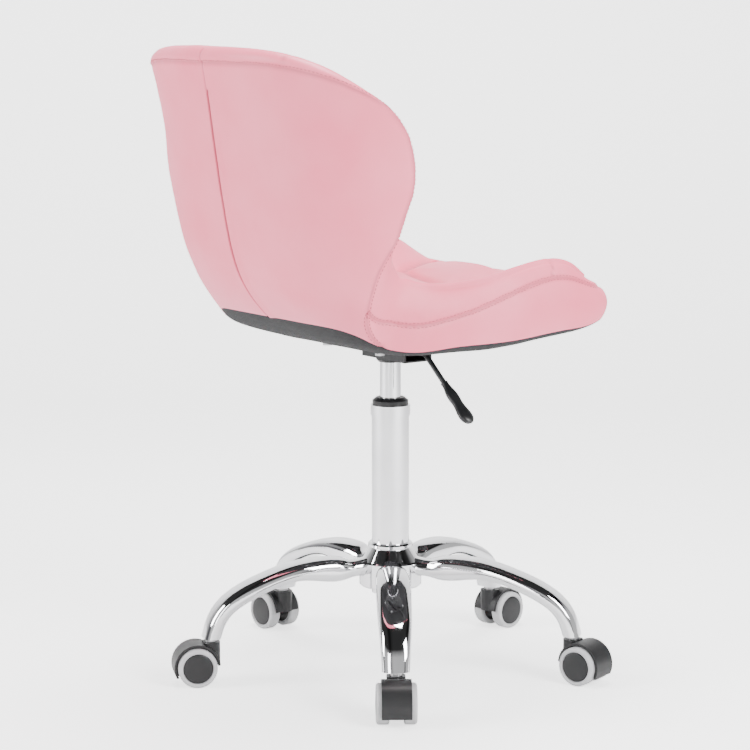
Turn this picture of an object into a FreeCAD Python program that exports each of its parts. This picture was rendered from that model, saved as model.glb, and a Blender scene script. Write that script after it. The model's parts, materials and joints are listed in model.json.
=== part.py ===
"""Swivel salon stool with an upholstered bucket seat, as a parametric assembly.

Millimetres, +Z up. The origin is on the floor, on the column's axis. The sitter
faces -Y, so the sitter's right hand, with the height lever, is at -X.
"""
import FreeCAD, Part
import math
import os

import Sketcher
from FreeCAD import Placement, Rotation, Vector

DIMENSIONS = {
    # column, from the floor up
    "tube_radius": 25, "tube_wall": 2, "tube_bottom": 104, "tube_top": 360,
    "collar_radius": 26.5, "collar_bottom": 346,
    "bush_bottom": 300, "bush_top": 370, "bush_flange_radius": 24, "bush_shoulder_radius": 19,
    "end_plate_thickness": 4, "bearing_height": 6, "bearing_radius": 17,
    # hub
    "hub_radius": 42, "hub_bottom": 114, "hub_shoulder": 147, "hub_cone_top": 166,
    "hub_cone_radius": 28, "hub_ring_radius": 30, "hub_top": 173, "hub_edge": 2,
    # gas spring
    "rod_radius": 5, "rod_bottom": 98, "rod_collar_radius": 9, "rod_collar_height": 4,
    "clip_radius": 9, "clip_height": 4, "piston_bottom": 245, "piston_height": 12,
    "cylinder_radius": 14, "cylinder_wall": 1.5, "cylinder_bottom": 165, "cylinder_top": 427,
    "cylinder_end": 8, "gland_height": 15, "release_pin_radius": 3, "release_pin_bottom": 405,
    "release_pin_top": 432.7, "running_gap": 0.05, "end_gap": 0.1,
    # seat mechanism
    "socket_radius": 19, "socket_bottom": 418, "socket_top": 429, "socket_chamfer": 3,
    "plate_width": 150, "plate_bottom": 443, "plate_thickness": 3, "bolt_offset": 60,
    "bolt_radius": 4, "bolt_head_radius": 6.5, "bolt_head_height": 5, "bolt_length": 18,
    "tee_nut_radius": 5.5, "tee_nut_bottom": 450, "tee_nut_height": 10,
    "tee_nut_flange_radius": 10, "tee_nut_flange": 1.5,
    "channel_left": 34, "channel_right": -62, "channel_half_width": 22, "channel_wall": 2,
    "channel_bottom": 424,
    # lever
    "lever_height": 436.5, "lever_radius": 3.5, "lever_inner_end": 6, "lever_bend": -78,
    "lever_bend_radius": 18, "lever_slope": 39, "lever_straight": 108,
    "pivot_from_axis": -45, "pivot_radius": 2.5, "pivot_boss_radius": 5.5, "pivot_boss_width": 12,
    "grip_start": 46, "grip_length": 70,
    # five arms
    "arm_count": 5, "first_arm_angle": 1.6, "arm_wall": 2, "arm_end_height": 62,
    "arm_roundness": 2.8,
    # caster fixing
    "stem_circle": 252.8, "stem_radius": 5, "stem_length": 12, "stem_collar_radius": 7.5,
    "stem_collar_bottom": 57, "stem_pin_radius": 4.5, "stem_pin_bottom": 31,
    "plug_radius": 13, "plug_height": 20,
    # twin-wheel casters
    "wheel_radius": 26, "wheel_inner_face": 9, "wheel_outer_face": 26.5, "wheel_edge": 2.5,
    "wheel_disc_radius": 20, "wheel_blind": 23, "caster_trail": 19, "axle_radius": 3,
    "axle_half_length": 22, "hood_radius": 30.6, "hood_gap": 1.4, "hood_half_width": 19,
    "web_half_width": 8, "boss_radius": 11, "hood_slope": 15, "hood_cut_height": 20,
    "block_half_width": 12, "block_bottom": 27, "block_top": 56.6, "block_reach": 13,
    "block_front": 9, "block_round": 13.3, "cutter_reach": 100, "stem_hole_depth": 0.5,
    "wheel_tread_slope": 4, "wheel_shoulder": 1.5, "wheel_rim_drop": 1, "wheel_groove": 1.75,
    "wheel_groove_width": 1, "wheel_dome_radius": 10,
    # upholstery layers, measured along the section from the outer face
    "cover_thickness": 1.5, "shell_thickness": 9, "lining_thickness": 1, "layer_gap": 1.4,
    "shell_gap": 4,
}

# One arm's sections: distance from the column's axis, height of the centre, width, height
ARM_SECTIONS = (
    (24, 139, 35, 36), (70, 140.5, 38, 30), (130, 142.5, 46, 25), (170, 133, 45, 22),
    (208, 117, 43, 23), (232, 100.5, 40, 22.5), (245, 81.5, 37, 22.5), (252.5, 58, 35, 22),
)

# Cross-sections of the padded bucket, from the front edge of the seat to the top of
# the back. Each lies square to the outer centre line, which passes through (y, z):
# half_width, then edge_rise (how far the outer face's edges stand forward or up),
# depth (padding at the centre), inner_rise (the same rise on the sitting face),
# roundness (how late across the width the edges start to rise) and inner_width (the
# sitting face's width over the outer face's).
SECTIONS = {
    "nose": (-241, 506, 160, 8, 28, 8, 3, 0.95),
    "lip": (-229, 484, 184, 9, 46, 18, 3, 0.95),
    "thigh": (-200, 470, 198, 10, 58, 34, 3.5, 0.95),
    "front": (-125, 455, 206, 16, 60, 48, 4, 0.93),
    "centre": (-40, 447, 208, 18, 62, 40, 4, 0.93),
    "rear": (40, 447, 204, 17, 61, 34, 4, 0.93),
    "hip": (110, 452, 191, 10, 62, 38, 4, 0.94),
    "heel": (165, 472, 173, 14, 58, 52, 3.5, 1.01),
    "bend": (208, 506, 194, 57, 54, 62, 3, 0.92),
    "loin": (239, 552, 208, 102, 50, 66, 3, 0.89),
    "lumbar": (255, 604, 220, 118, 48, 84, 3, 0.88),
    "wing": (265, 660, 232, 137, 46, 100, 3.1, 0.88),
    "blade": (274, 716, 235, 134, 44, 98, 2.7, 0.88),
    "shoulder": (281, 762, 232, 104, 42, 72, 2.2, 0.88),
    "collar": (286, 794, 216, 80, 38, 52, 2, 0.88),
    "rim": (290, 820, 190, 54, 31, 38, 2, 0.90),
    "crown": (291, 834, 160, 38, 24, 28, 2, 0.92),
}
SECTION_VALUES = ("y", "z", "half_width", "edge_rise", "depth", "inner_rise", "roundness",
                  "inner_width")
SPLIT = "bend"          # the seat's covers meet the back's covers at this section
WRAP_ANGLE = math.radians(72)
CURVE_POINTS = 9
HALF_SPACE = 700        # side of a block that stands for everything past a plane

# Where each caster trails, as an angle from its arm's own direction
CASTER_TURNS = (2.4, -8, 0, -20, -11)

doc = FreeCAD.newDocument("salon_stool")
sheet = doc.addObject("Spreadsheet::Sheet", "Sizes")


def fill_sheet():
    entries = dict(DIMENSIONS)
    for station, values in SECTIONS.items():
        for quantity, value in zip(SECTION_VALUES, values):
            entries[f"{station}_{quantity}"] = value
    for row, (alias, value) in enumerate(entries.items(), start=1):
        sheet.set(f"A{row}", alias)
        sheet.set(f"B{row}", str(value))
        sheet.setAlias(f"B{row}", alias)
    doc.recompute()


class Size:
    """A number with the expression that ties it to the spreadsheet."""

    def __init__(self, value, text):
        self.value = value
        self.text = text

    @staticmethod
    def of(item):
        return item if isinstance(item, Size) else Size(item, str(item))

    def __add__(self, other):
        other = Size.of(other)
        return Size(self.value + other.value, f"({self.text} + {other.text})")

    def __sub__(self, other):
        other = Size.of(other)
        return Size(self.value - other.value, f"({self.text} - {other.text})")

    def __mul__(self, factor):
        return Size(self.value * factor, f"({self.text} * {factor})")

    def __neg__(self):
        return self * -1


def size(alias):
    return Size(number(alias), f"{sheet.Name}.{alias}")


def number(alias):
    return float(sheet.get(alias))


def bind(item, prop, amount):
    item.setExpression(prop, Size.of(amount).text)


# ---------------------------------------------------------------- building blocks

def origin_plane(body, role):
    return next(f for f in body.Origin.OriginFeatures if f.Role == role)


def revolved(label, outline, placement=None):
    """A body turned about its own Z axis; outline is a closed list of (radius, height)."""
    body = doc.addObject("PartDesign::Body", label)
    body.Label = label
    profile = body.newObject("Sketcher::SketchObject", label + "_profile")
    profile.AttachmentSupport = (origin_plane(body, "XZ_Plane"), "")
    profile.MapMode = "FlatFace"
    corners = [(Size.of(r), Size.of(z)) for r, z in outline]
    count = len(corners)
    for i, (r, z) in enumerate(corners):
        r_next, z_next = corners[(i + 1) % count]
        start = Vector(r.value, z.value, 0)
        profile.addGeometry(Part.LineSegment(start, Vector(r_next.value, z_next.value, 0)), False)
    for i in range(count):
        profile.addConstraint(Sketcher.Constraint("Coincident", i, 2, (i + 1) % count, 1))
    for i, (r, z) in enumerate(corners):
        fix_distance(profile, "DistanceX", i, r, -2)
        fix_distance(profile, "DistanceY", i, z, -1)
    turn = body.newObject("PartDesign::Revolution", label + "_turn")
    turn.Profile = profile
    turn.ReferenceAxis = (profile, ["V_Axis"])
    turn.Angle = 360
    profile.Visibility = False
    if placement is not None:
        body.Placement = placement
    return body


def fix_distance(profile, kind, index, amount, axis):
    """Place one corner of a sketch, on the axis itself when the distance is nothing."""
    if amount.value == 0:
        profile.addConstraint(Sketcher.Constraint("PointOnObject", index, 1, axis))
        return
    rule = Sketcher.Constraint(kind, -1, 1, index, 1, amount.value)
    place = profile.addConstraint(rule)
    profile.setExpression(f"Constraints[{place}]", amount.text)


def ring(label, inner, outer, bottom, top):
    return revolved(label, [(inner, bottom), (outer, bottom), (outer, top), (inner, top)])


def block(name, low, high):
    """A box between two corners."""
    item = doc.addObject("Part::Box", name)
    for prop, axis, a, b in zip(("Length", "Width", "Height"), "xyz", low, high):
        bind(item, prop, Size.of(b) - Size.of(a))
        bind(item, f"Placement.Base.{axis}", a)
    return item


def rod(name, radius, length, base=(0, 0, 0), along_y=False):
    """A cylinder from base, along Z or, centred on base, along Y."""
    item = doc.addObject("Part::Cylinder", name)
    bind(item, "Radius", radius)
    bind(item, "Height", length)
    base = [Size.of(b) for b in base]
    if along_y:
        item.Placement = Placement(Vector(), Rotation(Vector(1, 0, 0), -90))
        base[1] = base[1] - Size.of(length) * 0.5
    for axis, amount in zip("xyz", base):
        bind(item, f"Placement.Base.{axis}", amount)
    return item


def cut(name, base, tool):
    item = doc.addObject("Part::Cut", name)
    item.Base = base
    item.Tool = tool
    return item


def fuse(name, shapes):
    item = doc.addObject("Part::MultiFuse", name)
    item.Shapes = shapes
    return item


def common(name, base, tool):
    item = doc.addObject("Part::Common", name)
    item.Base = base
    item.Tool = tool
    return item


def sub_part(item, label, placement=None):
    item.Label = label
    if placement is not None:
        item.Placement = placement
    parts.append(item)
    return item


def feature(label, shape, placement=None):
    item = doc.addObject("Part::Feature", label)
    item.Shape = shape
    return sub_part(item, label, placement)


# ---------------------------------------------------------------- column and gas spring

def hub_outline(bore):
    edge = size("hub_edge")
    radius = size("hub_radius")
    return [
        (bore, size("hub_bottom")), (radius - edge, size("hub_bottom")),
        (radius, size("hub_bottom") + edge), (radius, size("hub_shoulder")),
        (radius - edge, size("hub_shoulder") + edge), (size("hub_cone_radius"), size("hub_cone_top")),
        (size("hub_ring_radius"), size("hub_cone_top") + edge),
        (size("hub_ring_radius"), size("hub_top") - edge),
        (size("hub_ring_radius") - edge, size("hub_top")), (bore, size("hub_top")),
    ]


def make_column():
    outer = size("tube_radius")
    inner = outer - size("tube_wall")
    bottom = size("tube_bottom")
    floor = bottom + size("end_plate_thickness")
    rod_hole = size("rod_radius") + size("running_gap")
    guide = size("cylinder_radius") + size("running_gap")
    top = size("tube_top")
    sub_part(revolved("hub", hub_outline(outer)), "hub")
    sub_part(ring("column_tube", inner, outer, bottom, top), "column_tube")
    sub_part(ring("column_collar", outer, size("collar_radius"), size("collar_bottom"), top),
             "column_collar")
    sub_part(ring("tube_end_plate", rod_hole, inner, bottom, floor), "tube_end_plate")
    sub_part(ring("thrust_bearing", rod_hole, size("bearing_radius"), floor,
                  floor + size("bearing_height")), "thrust_bearing")
    flange = size("bush_flange_radius")
    sub_part(revolved("guide_bush", [
        (guide, size("bush_bottom")), (inner, size("bush_bottom")), (inner, top), (flange, top),
        (flange, size("bush_top") - 4), (size("bush_shoulder_radius"), size("bush_top")),
        (guide, size("bush_top")),
    ]), "guide_bush")


def make_gas_spring():
    rod_radius = size("rod_radius")
    plate_bottom = size("tube_bottom")
    bearing_top = plate_bottom + size("end_plate_thickness") + size("bearing_height")
    collar_bottom = bearing_top + size("end_gap")
    collar_top = collar_bottom + size("rod_collar_height")
    piston_bottom = size("piston_bottom")
    piston_top = piston_bottom + size("piston_height")
    bore = size("cylinder_radius") - size("cylinder_wall")
    sub_part(revolved("piston_rod", [
        (0, size("rod_bottom")), (rod_radius, size("rod_bottom")), (rod_radius, collar_bottom),
        (size("rod_collar_radius"), collar_bottom), (size("rod_collar_radius"), collar_top),
        (rod_radius, collar_top), (rod_radius, piston_top), (0, piston_top),
    ]), "piston_rod")
    clip_top = plate_bottom - size("end_gap")
    sub_part(ring("rod_clip", rod_radius, size("clip_radius"), clip_top - size("clip_height"),
                  clip_top), "rod_clip")
    sub_part(ring("piston", rod_radius, bore - size("running_gap"), piston_bottom, piston_top),
             "piston")
    pin_hole = size("release_pin_radius") + size("running_gap")
    bottom = size("cylinder_bottom")
    top = size("cylinder_top")
    end = top - size("cylinder_end")
    outer = size("cylinder_radius")
    sub_part(revolved("gas_cylinder", [
        (bore, bottom), (outer, bottom), (outer, top), (pin_hole, top), (pin_hole, end), (bore, end),
    ]), "gas_cylinder")
    sub_part(ring("cylinder_gland", rod_radius + size("running_gap"), bore, bottom,
                  bottom + size("gland_height")), "cylinder_gland")
    pin = size("release_pin_radius")
    sub_part(revolved("release_pin", [
        (0, size("release_pin_bottom")), (pin, size("release_pin_bottom")),
        (pin, size("release_pin_top")), (0, size("release_pin_top")),
    ]), "release_pin")


# ---------------------------------------------------------------- seat mechanism and lever

def bolt_places():
    offset = size("bolt_offset")
    return [(x, y) for x in (-offset, offset) for y in (-offset, offset)]


def bolt_holes(name, radius, bottom, length):
    return [rod(f"{name}_{i}", radius, length, (x, y, bottom))
            for i, (x, y) in enumerate(bolt_places(), start=1)]


def make_mechanism():
    outer = size("socket_radius")
    chamfer = size("socket_chamfer")
    bottom = size("socket_bottom")
    cylinder = size("cylinder_radius")
    sub_part(revolved("seat_socket", [
        (cylinder, bottom), (outer - chamfer, bottom), (outer, bottom + chamfer),
        (outer, size("socket_top")), (cylinder, size("socket_top")),
    ]), "seat_socket")

    half = size("plate_width") * 0.5
    plate_bottom = size("plate_bottom")
    plate_top = plate_bottom + size("plate_thickness")
    slab = block("plate_slab", (-half, -half, plate_bottom), (half, half, plate_top))
    holes = fuse("plate_holes", bolt_holes("plate_hole", size("bolt_radius"), plate_bottom,
                                           size("plate_thickness")))
    sub_part(cut("seat_plate", slab, holes), "seat_plate")

    wall = size("channel_wall")
    side = size("channel_half_width")
    left = size("channel_left")
    right = size("channel_right")
    floor = size("channel_bottom")
    body = block("channel_body", (right, -side, floor), (left, side, plate_bottom))
    inside = block("channel_inside", (right - wall, -(side - wall), floor + wall),
                   (left - wall, side - wall, plate_bottom + wall))
    socket_hole = rod("channel_socket_hole", outer, wall * 2, (0, 0, floor - wall * 0.5))
    pin_hole = rod("channel_pin_hole", size("pivot_radius"), side * 2.2,
                   (size("pivot_from_axis"), 0, size("lever_height")), along_y=True)
    sub_part(cut("lever_housing", body, fuse("channel_cuts", [inside, socket_hole, pin_hole])),
             "lever_housing")
    sub_part(rod("lever_pivot_pin", size("pivot_radius"), side * 2,
                 (size("pivot_from_axis"), 0, size("lever_height")), along_y=True),
             "lever_pivot_pin")

    head = size("bolt_head_height")
    bolts = []
    nuts = []
    flange_bottom = size("tee_nut_bottom") + size("tee_nut_height")
    for i, (x, y) in enumerate(bolt_places(), start=1):
        bolts.append(fuse(f"bolt_{i}", [
            rod(f"bolt_head_{i}", size("bolt_head_radius"), head, (x, y, plate_bottom - head)),
            rod(f"bolt_shank_{i}", size("bolt_radius"), size("bolt_length"), (x, y, plate_bottom)),
        ]))
        barrel = fuse(f"tee_nut_{i}", [
            rod(f"tee_barrel_{i}", size("tee_nut_radius"), size("tee_nut_height"),
                (x, y, size("tee_nut_bottom"))),
            rod(f"tee_flange_{i}", size("tee_nut_flange_radius"), size("tee_nut_flange"),
                (x, y, flange_bottom)),
        ])
        thread = rod(f"tee_thread_{i}", size("bolt_radius"), size("tee_nut_height") * 2,
                     (x, y, size("tee_nut_bottom") - 2))
        nuts.append(cut(f"tee_nut_bored_{i}", barrel, thread))
    sub_part(compound("plate_bolts", bolts), "plate_bolts")
    sub_part(compound("tee_nuts", nuts), "tee_nuts")


def compound(name, items):
    item = doc.addObject("Part::Compound", name)
    item.Links = items
    return item


def lever_direction():
    slope = math.radians(number("lever_slope"))
    return Vector(-math.cos(slope), 0, -math.sin(slope))


def make_lever():
    """A round rod that runs level over the release pin, bends down and ends in a paddle."""
    height = number("lever_height")
    bend_radius = number("lever_bend_radius")
    slope = math.radians(number("lever_slope"))
    inner_end = Vector(number("lever_inner_end"), 0, height)
    bend_start = Vector(number("lever_bend") + bend_radius * math.tan(slope / 2), 0, height)
    centre = bend_start - Vector(0, 0, bend_radius)
    bend_middle = centre + Vector(-math.sin(slope / 2), 0, math.cos(slope / 2)) * bend_radius
    bend_end = centre + Vector(-math.sin(slope), 0, math.cos(slope)) * bend_radius
    direction = lever_direction()
    tip = bend_end + direction * number("lever_straight")
    path = Part.Wire([
        Part.makeLine(inner_end, bend_start),
        Part.Arc(bend_start, bend_middle, bend_end).toShape(),
        Part.makeLine(bend_end, tip),
    ])
    circle = Part.Wire([Part.makeCircle(number("lever_radius"), inner_end, Vector(-1, 0, 0))])
    bar = path.makePipeShell([circle], True, False)
    width = number("pivot_boss_width")
    pivot = Vector(number("pivot_from_axis"), -width / 2, height)
    along = Vector(0, 1, 0)
    boss = Part.makeCylinder(number("pivot_boss_radius"), width, pivot, along)
    hole = Part.makeCylinder(number("pivot_radius") + number("running_gap"), width, pivot, along)
    feature("lever_rod", bar.fuse(boss).cut(hole).removeSplitter())

    # half width and half thickness of the paddle at shares of its length
    outline = ((0, 5, 4.6), (0.12, 5.2, 4.6), (0.32, 8.4, 5), (0.52, 7.6, 4.8), (0.78, 10.2, 5.2),
               (0.94, 8.6, 4.6), (1, 5, 3))
    start = bend_end + direction * number("grip_start")
    length = number("grip_length")
    sections = [oval(start + direction * (share * length), direction, Vector(0, 1, 0),
                     half_width, half_thickness, 2.2)
                for share, half_width, half_thickness in outline]
    paddle = Part.makeLoft(sections, True, False)
    socket = Part.makeCylinder(number("lever_radius"), (tip - start).Length, start, direction)
    feature("lever_grip", paddle.cut(socket))


def oval(centre, normal, across, half_width, half_height, power, count=16):
    """A closed smooth section between an ellipse and a rounded rectangle."""
    up = normal.cross(across)
    points = []
    for i in range(count):
        angle = 2 * math.pi * (i + 0.5) / count
        c = math.cos(angle)
        s = math.sin(angle)
        a = math.copysign(abs(c) ** (2 / power), c) * half_width
        b = math.copysign(abs(s) ** (2 / power), s) * half_height
        points.append(centre + across * a + up * b)
    curve = Part.BSplineCurve()
    curve.interpolate(Points=points, PeriodicFlag=True)
    return Part.Wire([curve.toShape()])


# ---------------------------------------------------------------- arms and caster fixings

def arm_sections(inset, overrun):
    """Sections along one arm, which points along +X: level at first, then bending down."""
    places = [Vector(r, 0, z) for r, z, width, height in ARM_SECTIONS]
    line = Part.BSplineCurve()
    line.interpolate(places)
    sections = []
    last = len(places) - 1
    for i, (place, (r, z, width, height)) in enumerate(zip(places, ARM_SECTIONS)):
        direction = line.tangent(line.parameter(place))[0]
        if i in (0, last):
            place = place + direction * (overrun if i else -overrun)
        sections.append(oval(place, direction, Vector(0, 1, 0), width / 2 - inset,
                             height / 2 - inset, number("arm_roundness")))
    return sections


def below(height):
    reach = 2 * number("stem_circle")
    return Part.makeBox(reach, reach, height, Vector(0, -reach / 2, 0))


def make_arms():
    end_height = number("arm_end_height")
    hub_points = [Vector(r.value, 0, z.value) for r, z in
                  [(Size.of(a), Size.of(b)) for a, b in hub_outline(0)]]
    hub_face = Part.Face(Part.makePolygon(hub_points + hub_points[:1]))
    hub_solid = hub_face.revolve(Vector(), Vector(0, 0, 1), 360)
    outer = Part.makeLoft(arm_sections(0, 0), True, False)
    inner = Part.makeLoft(arm_sections(number("arm_wall"), 2), True, False)
    arm = outer.cut(inner).cut(hub_solid).cut(below(end_height))
    stem_circle = number("stem_circle")
    centre = Vector(stem_circle, 0, end_height)
    plug = Part.makeCylinder(number("plug_radius"), number("plug_height"), centre).common(inner)
    plug = plug.cut(Part.makeCylinder(number("stem_radius"), number("stem_length"), centre))

    pin_bottom = number("stem_pin_bottom")
    collar_bottom = number("stem_collar_bottom")
    stem = Part.makeCylinder(number("stem_pin_radius"), collar_bottom - pin_bottom,
                             Vector(stem_circle, 0, pin_bottom))
    stem = stem.fuse(Part.makeCylinder(number("stem_collar_radius"), end_height - collar_bottom,
                                       Vector(stem_circle, 0, collar_bottom)))
    stem = stem.fuse(Part.makeCylinder(number("stem_radius"), number("stem_length"), centre))
    stem = stem.removeSplitter()

    plugs = []
    stems = []
    for i in range(int(number("arm_count"))):
        turn = Rotation(Vector(0, 0, 1), arm_angle(i))
        feature(f"arm_{i + 1}", arm, Placement(Vector(), turn))
        plugs.append(plug.rotated(Vector(), Vector(0, 0, 1), arm_angle(i)))
        stems.append(stem.rotated(Vector(), Vector(0, 0, 1), arm_angle(i)))
    feature("caster_sockets", Part.makeCompound(plugs))
    feature("caster_stems", Part.makeCompound(stems))


def arm_angle(index):
    return number("first_arm_angle") + index * 360 / number("arm_count")


# ---------------------------------------------------------------- casters

def caster_placement(index):
    """The caster's own frame: Z on the stem, X pointing where it trails."""
    angle = arm_angle(index)
    turn = Rotation(Vector(0, 0, 1), angle)
    centre = turn.multVec(Vector(number("stem_circle"), 0, 0))
    return Placement(centre, Rotation(Vector(0, 0, 1), angle + CASTER_TURNS[index]))


def make_housing(name, place):
    """A hood over both wheels, a web between them and the block that holds the stem."""
    trail = size("caster_trail")
    centre = (trail, 0, size("wheel_radius"))
    wide = size("hood_half_width") * 2
    web = size("web_half_width")
    shroud = rod(f"{name}_shroud", size("hood_radius"), wide, centre, along_y=True)
    room = size("wheel_radius") + size("hood_gap")
    reach = size("cutter_reach")
    bay = rod(f"{name}_bay", room, reach, centre, along_y=True)
    keep = block(f"{name}_keep", (-reach, -web, -reach), (reach, web, reach))
    hood = cut(f"{name}_hood", shroud, cut(f"{name}_wheel_room", bay, keep))
    skirt = doc.addObject("Part::Box", f"{name}_skirt")
    for prop in ("Length", "Width"):
        bind(skirt, prop, reach * 2)
    bind(skirt, "Height", reach)
    tilt = Rotation(Vector(0, 1, 0), number("hood_slope"))
    corner = tilt.multVec(Vector(-reach.value, -reach.value, -reach.value))
    pivot = Vector(number("caster_trail"), 0, number("hood_cut_height"))
    skirt.Placement = Placement(corner + pivot, tilt)
    half = size("block_half_width")
    top = size("block_top")
    front = size("block_front")
    stem_block = block(f"{name}_stem_block", (-size("block_reach"), -half, size("block_bottom")),
                       (front, half, top))
    rounder = rod(f"{name}_rounder", size("block_round"), reach, (0, 0, 0))
    stem_block = common(f"{name}_round_block", stem_block, rounder)
    side_bay = rod(f"{name}_side_bay", room, reach, centre, along_y=True)
    middle = block(f"{name}_middle", (-reach, -web, -reach), (reach, web, reach))
    side_room = cut(f"{name}_side_room", side_bay, middle)
    stem_block = cut(f"{name}_block", stem_block, side_room)
    boss = rod(f"{name}_boss", size("boss_radius"), web * 2, centre, along_y=True)
    solid = fuse(f"{name}_solid", [cut(f"{name}_trimmed", hood, skirt), stem_block, boss])
    stem_hole = rod(f"{name}_stem_hole", size("stem_pin_radius") + size("running_gap"), top,
                    (0, 0, size("stem_pin_bottom") - size("stem_hole_depth")))
    axle_hole = rod(f"{name}_axle_hole", size("axle_radius"), wide, centre, along_y=True)
    holes = fuse(f"{name}_holes", [stem_hole, axle_hole])
    sub_part(cut(f"{name}_housing", solid, holes), f"{name}_housing", place)


def wheel_outline():
    """Half-section of one wheel about its axis, from its open inner face outwards."""
    radius = size("wheel_radius")
    edge = size("wheel_edge")
    near = size("wheel_inner_face")
    far = size("wheel_outer_face")
    bore = size("axle_radius") + size("running_gap")
    disc = size("wheel_disc_radius")
    rim_face = far - size("wheel_rim_drop")
    return [
        (bore, near), (radius - edge, near), (radius, near + edge),
        (radius, far - size("wheel_tread_slope")), (radius - edge, far - size("wheel_shoulder")),
        (disc + size("wheel_groove_width"), rim_face), (disc, far - size("wheel_groove")),
        (size("wheel_dome_radius"), far), (0, far), (0, size("wheel_blind")),
        (bore, size("wheel_blind")),
    ]


def make_casters():
    radius = number("wheel_radius")
    trail = number("caster_trail")
    for i in range(int(number("arm_count"))):
        name = f"caster_{i + 1}"
        place = caster_placement(i)
        make_housing(name, place)
        axle = doc.addObject("Part::Cylinder", f"{name}_axle")
        bind(axle, "Radius", size("axle_radius"))
        bind(axle, "Height", size("axle_half_length") * 2)
        centre = Placement(Vector(trail, -number("axle_half_length"), radius),
                           Rotation(Vector(1, 0, 0), -90))
        sub_part(axle, f"{name}_axle", place.multiply(centre))
        for side, quarter in (("left", -90), ("right", 90)):
            local = Placement(Vector(trail, 0, radius), Rotation(Vector(1, 0, 0), quarter))
            wheel = revolved(f"{name}_wheel_{side}", wheel_outline(), place.multiply(local))
            sub_part(wheel, f"{name}_wheel_{side}")


# ---------------------------------------------------------------- upholstered bucket

class Station:
    """One cross-section of the bucket, in the plane square to its centre line."""

    def __init__(self, name, tangent):
        values = [number(f"{name}_{quantity}") for quantity in SECTION_VALUES]
        self.y, self.z, self.half_width, self.edge_rise, self.depth = values[:5]
        self.inner_rise, self.roundness, self.inner_width = values[5:]
        self.normal = Vector(0, -tangent.z, tangent.y)

    def point(self, u, share, offset):
        """u runs -1..1 across; the depth is share of the padding's depth plus offset."""
        inward = share + offset / self.depth
        across = math.sin(u * WRAP_ANGLE) / math.sin(WRAP_ANGLE)
        x = across * self.half_width * (1 - (1 - self.inner_width) * inward)
        rise = abs(u) ** self.roundness
        rise *= self.edge_rise * (1 - inward) + self.inner_rise * inward
        return Vector(x, self.y, self.z) + self.normal * (inward * self.depth + rise)


def make_stations():
    places = [Vector(0, number(f"{name}_y"), number(f"{name}_z")) for name in SECTIONS]
    line = Part.BSplineCurve()
    line.interpolate(places)
    stations = {}
    for name, place in zip(SECTIONS, places):
        stations[name] = Station(name, line.tangent(line.parameter(place))[0])
    return stations


def layer(stations, corners):
    """A solid lofted along the stations; each corner is (u, share, offset).

    Corners at one depth are joined by a curve across the bucket, others by a line.
    """
    wires = []
    for station in stations:
        edges = []
        for start, end in zip(corners, corners[1:] + corners[:1]):
            if start[1:] == end[1:]:
                steps = [start[0] + (end[0] - start[0]) * i / (CURVE_POINTS - 1)
                         for i in range(CURVE_POINTS)]
                curve = Part.BSplineCurve()
                curve.interpolate([station.point(u, *start[1:]) for u in steps])
                edges.append(curve.toShape())
            else:
                edges.append(Part.makeLine(station.point(*start), station.point(*end)))
        wires.append(Part.Wire(edges))
    return Part.makeLoft(wires, True, False)


def bolt_clearance():
    """Room for the bolts and for the flanges of the tee nuts."""
    shanks = []
    flanges = []
    top = number("tee_nut_bottom") + number("tee_nut_height")
    gap = number("layer_gap")
    for x, y in bolt_places():
        foot = Vector(x.value, y.value, number("plate_bottom"))
        shanks.append(Part.makeCylinder(number("tee_nut_radius") + gap, top - foot.z, foot))
        seat = Vector(foot.x, foot.y, top - gap)
        flanges.append(Part.makeCylinder(number("tee_nut_flange_radius") + gap,
                                         number("tee_nut_flange") * 3, seat))
    return shanks + flanges


def make_upholstery():
    stations = make_stations()
    whole = list(stations.values())
    above = beyond(stations[SPLIT])
    gap = number("layer_gap")
    skin = number("cover_thickness")
    lining = number("lining_thickness")
    under = skin + gap                              # outer side of the padding
    shell_foot = skin + number("shell_gap")         # outer side of the moulded shell
    shell_top = shell_foot + number("shell_thickness")
    top = -skin - gap                               # sitting side of the padding
    edge = 0.985        # where the side covers begin
    fill = 0.96         # where the padding ends
    board = 0.9         # edge of the moulded shell
    slot = 0.905        # the padding's recess for the shell
    hem = 0.88          # edge of the lining under the seat
    lining_edge = hem - 0.01

    room = bolt_clearance()
    shell = layer(whole, [(-board, 0, shell_foot), (board, 0, shell_foot), (board, 0, shell_top),
                          (-board, 0, shell_top)])
    feature("inner_shell", shell.cut(beyond(stations["lip"], -1)).cut(beyond(stations["collar"]))
            .cut(room))
    padding = layer(whole, [(-fill, 0, under), (-slot, 0, under), (-slot, 0, shell_top + gap),
                            (slot, 0, shell_top + gap), (slot, 0, under), (fill, 0, under),
                            (fill, 1, top), (-fill, 1, top)])
    feature("seat_foam", padding.cut(above).cut(room))
    feature("back_foam", padding.common(above))
    feature("seat_cover", layer(whole, [(-fill, 1, -skin), (fill, 1, -skin), (fill, 1, 0),
                                        (-fill, 1, 0)]).cut(above))
    feature("back_cover", layer(whole, [(-1, 0, under), (-edge, 0, under), (-edge, 1, -skin),
                                        (edge, 1, -skin), (edge, 0, under), (1, 0, under),
                                        (1, 1, 0), (-1, 1, 0)]).common(above))
    for side, sign in (("left", 1), ("right", -1)):
        feature(f"rear_cover_{side}", layer(whole, [
            (0, 0, 0), (sign, 0, 0), (sign, 0, skin), (0, 0, skin)]).common(above))
        feature(f"side_band_{side}", layer(whole, [
            (sign * hem, 0, 0), (sign, 0, 0), (sign, 1, 0), (sign * edge, 1, 0),
            (sign * edge, 0, skin), (sign * hem, 0, skin)]).cut(above))
    feature("dust_cover", layer(whole, [
        (-lining_edge, 0, 0), (lining_edge, 0, 0), (lining_edge, 0, lining),
        (-lining_edge, 0, lining)]).cut(above).cut(room))


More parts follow.
